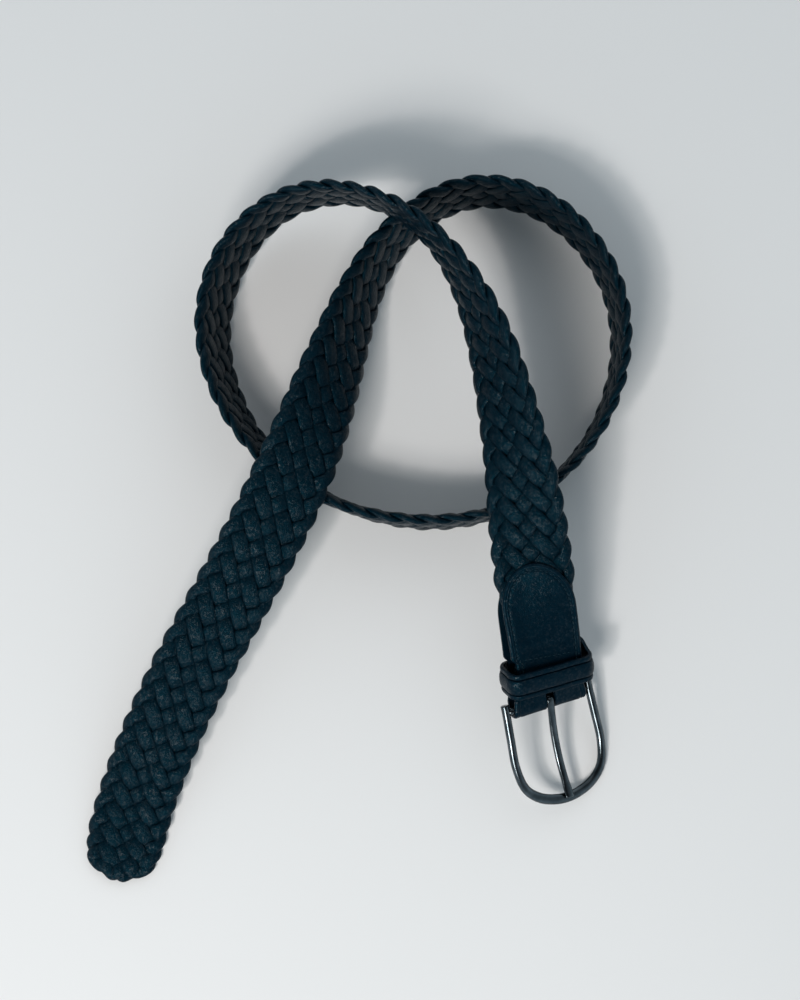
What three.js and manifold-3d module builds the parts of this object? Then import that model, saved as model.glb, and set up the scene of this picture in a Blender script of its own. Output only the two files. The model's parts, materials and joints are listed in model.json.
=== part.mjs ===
// A braided leather belt laid on a table: one loop, its tip and its buckle crossing over the ring.
// Millimetres, +Z up. Every leather piece follows one centreline that runs from the tip to the buckle's bar.
import * as THREE from "three";
import { mergeVertices } from "three/addons/utils/BufferGeometryUtils.js";
import Module from "manifold-3d";

const wasm = await Module();
wasm.setup();

// Gap kept between pieces that touch on the real belt
const CLEARANCE = 0.3;

// How the belt is laid out: the plan size that the route's shares refer to
const LAID_WIDTH = 240;
const LAID_LENGTH = 320;

// Braided band
const BAND_WIDTH = 35.6;
const BAND_THICKNESS = 4.4;
const BAND_EDGE_THICKNESS = 3.6;
const STRAND_WIDTH = 6;
const WEAVE_RELIEF = 0.6;
const SCALLOP_PITCH = 10.7;
const SCALLOP_DEPTH = 1.2;
const TIP_PITCH = 8.7;
const TIGHT_LENGTH = 110;
const TIP_LENGTH = 24;

// Leather tab folded round the bar
const LEATHER = 1.8;
const TAB_LENGTH = 63.5;
const BACK_FLAP_LENGTH = 61;
const FRONT_FLAP_WIDTH = 32.5;
const BACK_FLAP_WIDTH = 35;
const FOLD_WIDTH = 36;
const ARCH_LENGTH = 21;
const SLOT_LENGTH = 9;
const TUCKED_WIDTH = 30;

// Keeper
const KEEPER_BREADTH = 12;
const KEEPER_WALL = 1.5;
const KEEPER_PAD = 0.9;
const KEEPER_PINCH = 1.9;
const KEEPER_PLAY = 4.2;
const KEEPER_HEADROOM = 5;
const KEEPER_CORNER = 3.8;
const KEEPER_SETBACK = 7.2;
const KEEPER_TURN = 6;
const KEEPER_LEAN = 10;
const KEEPER_TILT = 2;
const KEEPER_CLEARANCE = 1.5;

// Buckle
const BAR_DIAMETER = 3;
const WIRE_DIAMETER = 3.7;
const FRAME_WIDTH = 43.2;
const FRAME_REACH = 44.8;
const FRONT_BREADTH = 4.7;
const FRONT_THICKNESS = 2.8;
const WIRE_STUB = 3.2;
const PRONG_BREADTH = 3.4;
const PRONG_THICKNESS = 2.4;
const PRONG_EYE_THICKNESS = 1.6;
const PRONG_TIP_BREADTH = 4;
const PRONG_TIP_THICKNESS = 1.6;
const PRONG_SAG = 3.2;

// The route: control points of one smooth curve. x and y are shares of the laid width and length, lift is
// how far the band's lowest edge stands above the table as a share of the band's width, and roll is how far
// the band leans in degrees, its left edge up.
const ROUTE = [
  { x: -0.447, y: -0.487, lift: 0, roll: 0 },
  { x: -0.425, y: -0.396, lift: 0, roll: 0 },
  { x: -0.376, y: -0.301, lift: 0.25, roll: 3 },
  { x: -0.309, y: -0.197, lift: 0.51, roll: 4 },
  { x: -0.234, y: -0.101, lift: 0.77, roll: 5 },
  { x: -0.164, y: -0.008, lift: 0.99, roll: 8 },
  { x: -0.106, y: 0.085, lift: 0.985, roll: 17 },
  { x: -0.062, y: 0.179, lift: 0.67, roll: 35 },
  { x: -0.022, y: 0.277, lift: 0.29, roll: 54 },
  { x: 0.024, y: 0.374, lift: 0.02, roll: 69 },
  { x: 0.098, y: 0.443, lift: 0, roll: 78 },
  { x: 0.204, y: 0.485, lift: 0, roll: 83 },
  { x: 0.333, y: 0.472, lift: 0, roll: 85 },
  { x: 0.439, y: 0.405, lift: 0, roll: 86 },
  { x: 0.495, y: 0.308, lift: 0, roll: 85 },
  { x: 0.484, y: 0.203, lift: 0, roll: 84.5 },
  { x: 0.425, y: 0.108, lift: 0, roll: 85 },
  { x: 0.322, y: 0.038, lift: 0, roll: 87 },
  { x: 0.192, y: 0.006, lift: 0, roll: 89 },
  { x: 0.058, y: 0.008, lift: 0, roll: 88 },
  { x: -0.076, y: 0.041, lift: 0, roll: 82 },
  { x: -0.184, y: 0.102, lift: 0, roll: 76 },
  { x: -0.259, y: 0.194, lift: 0, roll: 72 },
  { x: -0.285, y: 0.297, lift: 0, roll: 70 },
  { x: -0.240, y: 0.401, lift: 0.05, roll: 74 },
  { x: -0.135, y: 0.466, lift: 0.25, roll: 86 },
  { x: -0.001, y: 0.463, lift: 0.64, roll: 96 },
  { x: 0.113, y: 0.411, lift: 0.96, roll: 93 },
  { x: 0.193, y: 0.328, lift: 1.08, roll: 78 },
  { x: 0.241, y: 0.236, lift: 1.07, roll: 60 },
  { x: 0.269, y: 0.144, lift: 1.055, roll: 48 },
  { x: 0.294, y: 0.054, lift: 1.065, roll: 32 },
  { x: 0.310, y: -0.032, lift: 1.02, roll: 11 },
  { x: 0.325, y: -0.110, lift: 0.79, roll: -6 },
  { x: 0.339, y: -0.177, lift: 0.48, roll: -16 },
  { x: 0.3395, y: -0.210, lift: 0.35, roll: -20 },
  { x: 0.346, y: -0.238, lift: 0.24, roll: -22 },
];

// The folded tip: how much of the half width is left on each side, by distance from the end
const TIP_OUTLINE = [
  { along: 0, left: 0.18, right: 0.18 },
  { along: 0.15, left: 0.36, right: 0.56 },
  { along: 0.28, left: 0.62, right: 0.77 },
  { along: 0.43, left: 0.77, right: 0.90 },
  { along: 0.70, left: 0.95, right: 0.97 },
  { along: 1, left: 1, right: 1 },
];

// Section of the keeper: its place along the belt as a share of its breadth, and how much of the wall
// and of the padding stands there
const KEEPER_PROFILE = [
  { along: 0.5, wall: 0, pad: 0 },
  { along: 0.5, wall: 0.8, pad: 0 },
  { along: 0.42, wall: 1.1, pad: 0 },
  { along: 0.34, wall: 0.8, pad: 0 },
  { along: 0.2, wall: 1, pad: 0.8 },
  { along: 0, wall: 1, pad: 1 },
  { along: -0.2, wall: 1, pad: 0.8 },
  { along: -0.34, wall: 0.8, pad: 0 },
  { along: -0.42, wall: 1.1, pad: 0 },
  { along: -0.5, wall: 0.8, pad: 0 },
  { along: -0.5, wall: 0, pad: 0 },
];

// Half of the buckle frame from its bar to the middle of its front; the wire is flattened towards the front
const FRAME_OUTLINE = [
  { across: 0.97, reach: 0, flattened: 0 },
  { across: 0.99, reach: 0.27, flattened: 0 },
  { across: 1, reach: 0.565, flattened: 0.1 },
  { across: 0.88, reach: 0.795, flattened: 0.4 },
  { across: 0.61, reach: 0.92, flattened: 0.8 },
  { across: 0.30, reach: 0.98, flattened: 1 },
  { across: 0, reach: 1, flattened: 1 },
];

// Sizes that follow from the driving sizes
const HALF_BAND = BAND_THICKNESS / 2;
const FLAP_CENTRE = HALF_BAND + CLEARANCE + LEATHER / 2;
const FLAP_OUTSIDE = FLAP_CENTRE + LEATHER / 2;
const FOLD_RADIUS = BAR_DIAMETER / 2 + CLEARANCE + LEATHER / 2;
const EYE_RADIUS = (BAR_DIAMETER + PRONG_EYE_THICKNESS) / 2 + CLEARANCE;
const SLOT_WIDTH = PRONG_BREADTH + 4 * CLEARANCE;
const BRAID_COLUMNS = 8;
const PRONG_CURL = THREE.MathUtils.degToRad(200);

// How finely the round pieces are cut
const FRAME_STEPS = 40;
const WIRE_SIDES = 10;
const BAR_SIDES = 12;
const PRONG_SIDES = 8;

// Cubic B-spline weights of four neighbouring control points
function splineWeights(t) {
  const u = 1 - t;
  return [u ** 3 / 6, (3 * t ** 3 - 6 * t ** 2 + 4) / 6, (3 * u ** 3 - 6 * u ** 2 + 4) / 6, t ** 3 / 6];
}

class Centreline {
  constructor(route) {
    const points = route.map(({ x, y, lift, roll }) => {
      const lean = THREE.MathUtils.degToRad(roll);
      const upright = BAND_WIDTH * Math.abs(Math.sin(lean));
      const standing = (upright + BAND_THICKNESS * Math.abs(Math.cos(lean))) / 2;
      return new THREE.Vector4(x * LAID_WIDTH, y * LAID_LENGTH, lift * BAND_WIDTH + standing, lean);
    });
    const before = points[0].clone().multiplyScalar(2).sub(points[1]);
    const after = points.at(-1).clone().multiplyScalar(2).sub(points.at(-2));
    this.controls = [before, ...points, after];
    this.spans = points.length - 1;
    this.measure(24);
  }

  // Position and lean at a parameter counted in spans
  sample(parameter) {
    const span = THREE.MathUtils.clamp(Math.floor(parameter), 0, this.spans - 1);
    const result = new THREE.Vector4(0, 0, 0, 0);
    splineWeights(parameter - span).forEach((weight, i) => {
      result.addScaledVector(this.controls[span + i], weight);
    });
    return result;
  }

  measure(stepsPerSpan) {
    this.stepsPerSpan = stepsPerSpan;
    this.distances = [0];
    let last = this.sample(0);
    for (let i = 1; i <= this.spans * stepsPerSpan; i++) {
      const next = this.sample(i / stepsPerSpan);
      const step = Math.hypot(next.x - last.x, next.y - last.y, next.z - last.z);
      this.distances.push(this.distances.at(-1) + step);
      last = next;
    }
    this.length = this.distances.at(-1);
  }

  parameterAt(distance) {
    let low = 0;
    let high = this.distances.length - 1;
    while (high - low > 1) {
      const middle = (low + high) >> 1;
      if (this.distances[middle] > distance) high = middle;
      else low = middle;
    }
    const share = (distance - this.distances[low]) / (this.distances[high] - this.distances[low]);
    return (low + share) / this.stepsPerSpan;
  }

  // Centre and axes of the band: along towards the buckle, across to its left edge, facing out of its face
  frameAt(distance) {
    const parameter = this.parameterAt(THREE.MathUtils.clamp(distance, 0, this.length));
    const nudge = 0.002;
    const centre = this.sample(parameter);
    const ahead = this.sample(Math.min(parameter + nudge, this.spans));
    const behind = this.sample(Math.max(parameter - nudge, 0));
    const along = new THREE.Vector3(ahead.x - behind.x, ahead.y - behind.y, ahead.z - behind.z).normalize();
    const level = new THREE.Vector3(-along.y, along.x, 0).normalize();
    const rising = new THREE.Vector3().crossVectors(along, level);
    const across = level.multiplyScalar(Math.cos(centre.w)).addScaledVector(rising, Math.sin(centre.w));
    const facing = new THREE.Vector3().crossVectors(along, across);
    return { centre: new THREE.Vector3(centre.x, centre.y, centre.z), along, across, facing };
  }

  // A point given by its distance from the tip, its place across the band and its height over the middle
  point(distance, across, height) {
    const frame = this.frameAt(distance);
    const beyond = Math.max(distance - this.length, 0);
    return frame.centre
      .addScaledVector(frame.along, beyond)
      .addScaledVector(frame.across, across)
      .addScaledVector(frame.facing, height);
  }
}

const centreline = new Centreline(ROUTE);

// Skin over a row of rings with the same number of points; ends are capped unless the rings close on
// themselves. A crease chooses which corners of each four-sided patch its ridge joins.
function loft(rings, { closed = false, crease = () => false } = {}) {
  const size = rings[0].length;
  const positions = rings.flat().flatMap((point) => point.toArray());
  const indices = [];
  const rows = closed ? rings.length : rings.length - 1;
  for (let i = 0; i < rows; i++) {
    for (let j = 0; j < size; j++) {
      const a = i * size + j;
      const b = i * size + ((j + 1) % size);
      const c = ((i + 1) % rings.length) * size + ((j + 1) % size);
      const d = ((i + 1) % rings.length) * size + j;
      indices.push(...(crease(i, j) ? [a, b, c, a, c, d] : [a, b, d, b, c, d]));
    }
  }
  if (!closed) {
    const end = (rings.length - 1) * size;
    for (let j = 1; j < size - 1; j++) {
      indices.push(0, j + 1, j, end, end + j, end + j + 1);
    }
  }
  const geometry = new THREE.BufferGeometry();
  geometry.setAttribute("position", new THREE.Float32BufferAttribute(positions, 3));
  geometry.setIndex(indices);
  return geometry;
}

function toSolid(geometry) {
  const bare = geometry.clone();
  bare.deleteAttribute("normal");
  bare.deleteAttribute("uv");
  const merged = mergeVertices(bare, 1e-4);
  return new wasm.Manifold(new wasm.Mesh({
    numProp: 3,
    vertProperties: new Float32Array(merged.attributes.position.array),
    triVerts: new Uint32Array(merged.index.array),
  }));
}

function toGeometry(solid) {
  const mesh = solid.getMesh();
  const geometry = new THREE.BufferGeometry();
  geometry.setAttribute("position", new THREE.BufferAttribute(mesh.vertProperties, 3));
  geometry.setIndex(new THREE.BufferAttribute(mesh.triVerts, 1));
  return geometry;
}

// Value of a table's column between its rows
function lookUp(table, key, column, value) {
  const next = table.findIndex((row) => row[key] >= value);
  if (next < 0) return table.at(-1)[column];
  if (next === 0) return table[0][column];
  const [from, to] = [table[next - 1], table[next]];
  return THREE.MathUtils.mapLinear(value, from[key], to[key], from[column], to[column]);
}

// Distances of the braid's half pitches, tighter towards the tip and fitted to the band's whole length
function braidRows(length) {
  const rows = [0];
  while (rows.at(-1) < length) {
    const loosened = THREE.MathUtils.smoothstep(rows.at(-1), 0, TIGHT_LENGTH);
    rows.push(rows.at(-1) + THREE.MathUtils.lerp(TIP_PITCH, SCALLOP_PITCH, loosened) / 2);
  }
  return rows.map((distance) => (distance * length) / rows.at(-1));
}

// One cross-section of the braid: its crossings rise in a chequered pattern and its edges are scalloped
function braidRing(row, distance, tuckedFrom) {
  const pressed = THREE.MathUtils.smoothstep(distance, TIP_LENGTH / 4, TIP_LENGTH);
  const tucked = THREE.MathUtils.smoothstep(distance, tuckedFrom, tuckedFrom + SCALLOP_PITCH);
  const halfWidth = THREE.MathUtils.lerp(BAND_WIDTH, TUCKED_WIDTH, tucked) / 2;
  const scallop = row % 2 === 0 ? 0 : SCALLOP_DEPTH;
  const crossingReach = halfWidth - STRAND_WIDTH / 2;
  const tipShare = distance / TIP_LENGTH;
  const place = (across, height) => {
    const widthLeft = lookUp(TIP_OUTLINE, "along", across < 0 ? "right" : "left", tipShare);
    return centreline.point(distance, across * widthLeft, height);
  };
  const face = (side) => {
    const points = [];
    for (let column = BRAID_COLUMNS - 1; column > 0; column--) {
      const crossing = (column + row) % 2 === 0;
      const height = HALF_BAND - (crossing ? 0 : WEAVE_RELIEF * pressed);
      const across = ((2 * column) / BRAID_COLUMNS - 1) * crossingReach;
      points.push(place(across * side, height * side));
    }
    return points;
  };
  const edge = halfWidth - scallop;
  const corner = BAND_EDGE_THICKNESS / 2;
  return [
    place(edge, corner),
    ...face(1),
    place(-edge, corner),
    place(-edge, -corner),
    ...face(-1),
    place(edge, -corner),
  ];
}

function braidedStrap() {
  const length = centreline.length - SLOT_LENGTH - CLEARANCE;
  const tuckedFrom = centreline.length - TAB_LENGTH + ARCH_LENGTH / 2;
  const rows = braidRows(length);
  const rings = rows.map((distance, row) => braidRing(row, distance, tuckedFrom));
  return loft(rings, { crease: (row, column) => (row + column) % 2 === 0 });
}

// The tab's mid surface runs along the front flap, round the bar and back along the back flap
function tabStations() {
  const end = centreline.length;
  const taper = SLOT_LENGTH;
  const archSteps = 8;
  const straightSteps = 12;
  const foldSteps = 8;
  const flap = (length, width, side) => {
    const stations = [];
    for (let step = 1; step <= archSteps; step++) {
      const angle = (step / archSteps) * (Math.PI / 2);
      const share = Math.sin(angle);
      const distance = end - length + ARCH_LENGTH * (1 - Math.cos(angle));
      stations.push({ distance, height: side * FLAP_CENTRE, halfWidth: (width / 2) * share });
    }
    const straight = length - ARCH_LENGTH - taper;
    for (let step = 1; step <= straightSteps; step++) {
      const distance = end - length + ARCH_LENGTH + (straight * step) / straightSteps;
      stations.push({ distance, height: side * FLAP_CENTRE, halfWidth: width / 2 });
    }
    stations.push({
      distance: end - taper / 2,
      height: (side * (FLAP_CENTRE + FOLD_RADIUS)) / 2,
      halfWidth: (width + FOLD_WIDTH) / 4,
    });
    return stations;
  };
  const fold = [];
  for (let step = 0; step <= foldSteps; step++) {
    const angle = (step / foldSteps) * Math.PI;
    fold.push({
      distance: end + FOLD_RADIUS * Math.sin(angle),
      height: FOLD_RADIUS * Math.cos(angle),
      halfWidth: FOLD_WIDTH / 2,
    });
  }
  return [
    ...flap(TAB_LENGTH, FRONT_FLAP_WIDTH, 1),
    ...fold,
    ...flap(BACK_FLAP_LENGTH, BACK_FLAP_WIDTH, -1).reverse(),
  ];
}

// The keeper's middle along the belt
function keeperMiddle() {
  return centreline.length - KEEPER_SETBACK - KEEPER_BREADTH / 2;
}

// How far the keeper has pulled in the tab's right edge at a distance from the tip, fading at its own edges
function keeperPinch(distance) {
  const away = Math.abs(distance - keeperMiddle()) / KEEPER_BREADTH;
  return KEEPER_PINCH * (1 - THREE.MathUtils.smoothstep(away, 0.5, 0.75));
}

function buckleTab() {
  const stations = tabStations();
  const shares = [1, 0.5, 0, -0.5, -1];
  const rings = stations.map((station, i) => {
    const before = stations[Math.max(i - 1, 0)];
    const after = stations[Math.min(i + 1, stations.length - 1)];
    const run = new THREE.Vector2(after.distance - before.distance, after.height - before.height).normalize();
    const pinch = keeperPinch(station.distance);
    const skin = (side) => shares.map((share) => centreline.point(
      station.distance - (side * run.y * LEATHER) / 2,
      share * (station.halfWidth - (share < 0 ? pinch : 0)),
      station.height + (side * run.x * LEATHER) / 2,
    ));
    return [...skin(1), ...skin(-1).reverse()];
  });
  const tab = toSolid(loft(rings));
  const cutter = new THREE.BoxGeometry(2 * SLOT_LENGTH, SLOT_WIDTH, 4 * FLAP_OUTSIDE);
  cutter.applyMatrix4(barMatrix());
  return toGeometry(tab.subtract(toSolid(cutter)));
}

// The bar's own axes: X along the belt towards the buckle's front, Y across and Z out of the belt's face
function barMatrix() {
  const { centre, along, across, facing } = centreline.frameAt(centreline.length);
  return new THREE.Matrix4().makeBasis(along, across, facing).setPosition(centre);
}

// Rounded rectangle round the tab, as places across and heights
function keeperPath(halfWidth, halfHeight) {
  const path = [];
  const cornerSteps = 5;
  for (let corner = 0; corner < 4; corner++) {
    const signs = [[1, 1], [-1, 1], [-1, -1], [1, -1]][corner];
    for (let step = 0; step <= cornerSteps; step++) {
      const angle = (corner + step / cornerSteps) * (Math.PI / 2);
      path.push({
        across: signs[0] * (halfWidth - KEEPER_CORNER) + KEEPER_CORNER * Math.cos(angle),
        height: signs[1] * (halfHeight - KEEPER_CORNER) + KEEPER_CORNER * Math.sin(angle),
        outward: new THREE.Vector2(Math.cos(angle), Math.sin(angle)),
      });
    }
  }
  return path;
}

// The keeper hangs on the front flap and has slid to the lower side, a little askew: a strip with a padded
// middle between two thin edge ridges. Its clearance leaves room for the tab's own bend and twist.
function keeper() {
  const halfWidth = (BACK_FLAP_WIDTH - KEEPER_PINCH + KEEPER_PLAY) / 2;
  const halfHeight = FLAP_OUTSIDE + KEEPER_HEADROOM / 2;
  const lean = THREE.MathUtils.degToRad(KEEPER_LEAN);
  const turn = THREE.MathUtils.degToRad(KEEPER_TURN);
  const lowEdge = halfHeight * Math.cos(lean) - (KEEPER_BREADTH / 2) * Math.sin(lean);
  const drop = lowEdge - FLAP_OUTSIDE - KEEPER_CLEARANCE;
  const offCentre = (KEEPER_PINCH + KEEPER_PLAY) / 2;
  const slide = offCentre - (KEEPER_BREADTH / 2) * Math.sin(turn) - KEEPER_CLEARANCE;
  const { centre, along, across, facing } = centreline.frameAt(keeperMiddle());
  const place = new THREE.Matrix4().makeBasis(along, across, facing).setPosition(centre)
    .multiply(new THREE.Matrix4().makeTranslation(0, slide, -drop))
    .multiply(new THREE.Matrix4().makeRotationX(-THREE.MathUtils.degToRad(KEEPER_TILT)))
    .multiply(new THREE.Matrix4().makeRotationZ(turn))
    .multiply(new THREE.Matrix4().makeRotationY(lean));
  const rings = keeperPath(halfWidth, halfHeight).map((station) => KEEPER_PROFILE.map((point) => {
    const rise = point.wall * KEEPER_WALL + point.pad * KEEPER_PAD;
    return new THREE.Vector3(
      point.along * KEEPER_BREADTH,
      station.across + station.outward.x * rise,
      station.height + station.outward.y * rise,
    ).applyMatrix4(place);
  }));
  return loft(rings, { closed: true });
}

// Ring of points round a wire, in the plane of two axes
function wireRing(centre, breadthAxis, breadth, thicknessAxis, thickness, sides) {
  const ring = [];
  for (let i = 0; i < sides; i++) {
    const angle = (i / sides) * 2 * Math.PI;
    ring.push(centre.clone()
      .addScaledVector(breadthAxis, (Math.cos(angle) * breadth) / 2)
      .addScaledVector(thicknessAxis, (Math.sin(angle) * thickness) / 2));
  }
  return ring;
}

// The frame's U-shaped wire and its bar, the bar's middle at the origin
function buckleFrame() {
  const half = FRAME_OUTLINE.map(({ across, reach, flattened }) => new THREE.Vector4(
    reach * FRAME_REACH, (across * FRAME_WIDTH) / 2, 0, flattened,
  ));
  const start = half[0].clone().setX(-WIRE_STUB);
  const mirrored = [...half].reverse().slice(1).map((point) => point.clone().setY(-point.y));
  const points = [start, ...half, ...mirrored, start.clone().setY(-start.y)];
  const curve = new THREE.CatmullRomCurve3(points.map(({ x, y }) => new THREE.Vector3(x, y, 0)));
  const flatness = new THREE.CatmullRomCurve3(points.map(({ w }, i) => new THREE.Vector3(i, w, 0)));
  const up = new THREE.Vector3(0, 0, 1);
  const rings = [];
  for (let i = 0; i <= FRAME_STEPS; i++) {
    const share = i / FRAME_STEPS;
    const tangent = curve.getTangent(share);
    const outward = new THREE.Vector3().crossVectors(tangent, up).negate();
    const flattened = THREE.MathUtils.clamp(flatness.getPoint(share).y, 0, 1);
    const breadth = THREE.MathUtils.lerp(WIRE_DIAMETER, FRONT_BREADTH, flattened);
    const thickness = THREE.MathUtils.lerp(WIRE_DIAMETER, FRONT_THICKNESS, flattened);
    rings.push(wireRing(curve.getPoint(share), outward, breadth, up, thickness, WIRE_SIDES));
  }
  const barLength = half[0].y * 2;
  const bar = new THREE.CylinderGeometry(BAR_DIAMETER / 2, BAR_DIAMETER / 2, barLength, BAR_SIDES);
  return toGeometry(toSolid(loft(rings)).add(toSolid(bar)));
}

// The prong's eye turns round the bar and its shank lies on the frame's front
function prong() {
  const restingHeight = (FRONT_THICKNESS + PRONG_TIP_THICKNESS) / 2 + CLEARANCE;
  const path = [];
  const shankLength = FRAME_REACH - FRONT_BREADTH / 8;
  const dip = Math.atan(Math.PI * PRONG_SAG / shankLength);
  const eyeSteps = 12;
  for (let i = 0; i <= eyeSteps; i++) {
    const angle = THREE.MathUtils.lerp(-PRONG_CURL, Math.PI / 2 + dip, i / eyeSteps);
    path.push(new THREE.Vector3(-Math.cos(angle), 0, Math.sin(angle)).multiplyScalar(EYE_RADIUS));
  }
  const leaving = path.at(-1).clone();
  const shankSteps = 12;
  for (let i = 1; i <= shankSteps; i++) {
    const share = i / shankSteps;
    const sag = PRONG_SAG * Math.sin(Math.PI * share);
    const height = THREE.MathUtils.lerp(leaving.z, restingHeight, share) - sag;
    path.push(new THREE.Vector3(THREE.MathUtils.lerp(leaving.x, shankLength, share), 0, height));
  }
  const sideways = new THREE.Vector3(0, 1, 0);
  const rings = path.map((centre, i) => {
    const before = path[Math.max(i - 1, 0)];
    const after = path[Math.min(i + 1, path.length - 1)];
    const tangent = new THREE.Vector3().subVectors(after, before).normalize();
    const upright = new THREE.Vector3().crossVectors(tangent, sideways);
    const filled = THREE.MathUtils.smoothstep(centre.x, 0, FRAME_REACH * 0.3);
    const flattened = THREE.MathUtils.smoothstep(centre.x, FRAME_REACH * 0.8, FRAME_REACH * 0.93);
    const breadth = THREE.MathUtils.lerp(PRONG_BREADTH, PRONG_TIP_BREADTH, flattened);
    const shank = THREE.MathUtils.lerp(PRONG_EYE_THICKNESS, PRONG_THICKNESS, filled);
    const thickness = THREE.MathUtils.lerp(shank, PRONG_TIP_THICKNESS, flattened);
    return wireRing(centre, sideways, breadth, upright, thickness, PRONG_SIDES);
  });
  return loft(rings);
}

// Lowest point of a geometry once it is placed by a matrix
function lowestPoint(geometry, matrix) {
  const positions = geometry.attributes.position;
  const point = new THREE.Vector3();
  let lowest = Infinity;
  for (let i = 0; i < positions.count; i++) {
    lowest = Math.min(lowest, point.fromBufferAttribute(positions, i).applyMatrix4(matrix).z);
  }
  return lowest;
}

// Turn of the frame about its bar at which it comes down onto the table
function restingTurn(geometry, bar) {
  let low = -Math.PI / 3;
  let high = Math.PI / 3;
  for (let i = 0; i < 40; i++) {
    const turn = (low + high) / 2;
    const placed = bar.clone().multiply(new THREE.Matrix4().makeRotationY(-turn));
    if (lowestPoint(geometry, placed) < 0) low = turn;
    else high = turn;
  }
  return high;
}

const braidedLeather = new THREE.MeshStandardMaterial({ color: 0x12181c, roughness: 0.5, metalness: 0 });
const plainLeather = new THREE.MeshStandardMaterial({ color: 0x0f1519, roughness: 0.38, metalness: 0 });
const darkNickel = new THREE.MeshStandardMaterial({ color: 0x55585c, roughness: 0.18, metalness: 1 });

function part(name, geometry, material) {
  const mesh = new THREE.Mesh(geometry, material);
  mesh.name = name;
  return mesh;
}

const belt = new THREE.Group();
belt.add(part("braided_strap", braidedStrap(), braidedLeather));
belt.add(part("buckle_tab", buckleTab(), plainLeather));
belt.add(part("keeper", keeper(), plainLeather));

const buckle = new THREE.Group();
const frameGeometry = buckleFrame();
const bar = barMatrix();
bar.decompose(buckle.position, buckle.quaternion, buckle.scale);
const hinged = new THREE.Group();
hinged.rotation.y = -restingTurn(frameGeometry, bar);
hinged.add(part("buckle_frame", frameGeometry, darkNickel));
hinged.add(part("prong", prong(), darkNickel));
buckle.add(hinged);
belt.add(buckle);

// The origin is under the middle of the laid belt, on the table
belt.updateMatrixWorld(true);
const extent = new THREE.Box3().setFromObject(belt, true);
const middle = extent.getCenter(new THREE.Vector3());
belt.position.set(-middle.x, -middle.y, -extent.min.z);

export default belt;
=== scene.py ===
import json
import math
import bmesh
import bpy
import numpy as np
from mathutils import Matrix, Vector, noise


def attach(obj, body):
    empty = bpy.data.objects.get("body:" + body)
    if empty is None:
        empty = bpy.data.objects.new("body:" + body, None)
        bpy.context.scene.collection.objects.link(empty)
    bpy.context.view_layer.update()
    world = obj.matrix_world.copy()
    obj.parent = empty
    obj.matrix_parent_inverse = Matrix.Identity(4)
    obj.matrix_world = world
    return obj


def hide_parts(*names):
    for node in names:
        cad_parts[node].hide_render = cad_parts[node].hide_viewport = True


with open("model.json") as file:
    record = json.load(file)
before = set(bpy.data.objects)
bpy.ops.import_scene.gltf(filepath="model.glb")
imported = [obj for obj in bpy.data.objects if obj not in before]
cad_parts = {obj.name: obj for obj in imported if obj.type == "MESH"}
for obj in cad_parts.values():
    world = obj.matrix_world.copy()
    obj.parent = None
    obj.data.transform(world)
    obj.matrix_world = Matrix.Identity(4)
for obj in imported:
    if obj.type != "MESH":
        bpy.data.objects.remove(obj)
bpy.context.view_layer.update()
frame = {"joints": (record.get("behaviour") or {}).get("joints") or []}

MM = 0.001

# Points nearer than this are joined, and edges shorter than this are taken out
WELD_DISTANCE = 0.001
SLIVER_LENGTH = 0.0005

# Sizes shared with the frame
LAID_WIDTH = 240
LAID_LENGTH = 320
BAND_WIDTH = 35.6
BAND_THICKNESS = 4.4
SCALLOP_PITCH = 10.7
TIP_PITCH = 8.7
TIGHT_LENGTH = 110
TIP_LENGTH = 24
CLEARANCE = 0.3
LEATHER = 1.8
TAB_LENGTH = 63.5
BACK_FLAP_LENGTH = 61
FRONT_FLAP_WIDTH = 32.5
BACK_FLAP_WIDTH = 35
FOLD_WIDTH = 36
ARCH_LENGTH = 21
SLOT_LENGTH = 9
TUCKED_WIDTH = 30
KEEPER_BREADTH = 12
KEEPER_WALL = 1.5
KEEPER_PAD = 0.9
KEEPER_PINCH = 1.9
KEEPER_PLAY = 4.2
KEEPER_HEADROOM = 5
KEEPER_CORNER = 3.8
KEEPER_SETBACK = 7.2
KEEPER_TURN = math.radians(6)
KEEPER_LEAN = math.radians(10)
KEEPER_TILT = math.radians(2)
KEEPER_CLEARANCE = 1.5
BAR_DIAMETER = 3
WIRE_DIAMETER = 3.7
FRAME_WIDTH = 43.2
FRAME_REACH = 44.8
FRONT_BREADTH = 4.7
FRONT_THICKNESS = 2.8
WIRE_STUB = 3.2
PRONG_BREADTH = 3.4
PRONG_THICKNESS = 2.4
PRONG_EYE_THICKNESS = 1.6
PRONG_TIP_BREADTH = 4
PRONG_TIP_THICKNESS = 1.6
PRONG_SAG = 3.2
PRONG_CURL = math.radians(200)

HALF_BAND = BAND_THICKNESS / 2
FLAP_CENTRE = HALF_BAND + CLEARANCE + LEATHER / 2
FLAP_OUTSIDE = FLAP_CENTRE + LEATHER / 2
FOLD_RADIUS = BAR_DIAMETER / 2 + CLEARANCE + LEATHER / 2
EYE_RADIUS = (BAR_DIAMETER + PRONG_EYE_THICKNESS) / 2 + CLEARANCE
SLOT_WIDTH = PRONG_BREADTH + 4 * CLEARANCE

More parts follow.
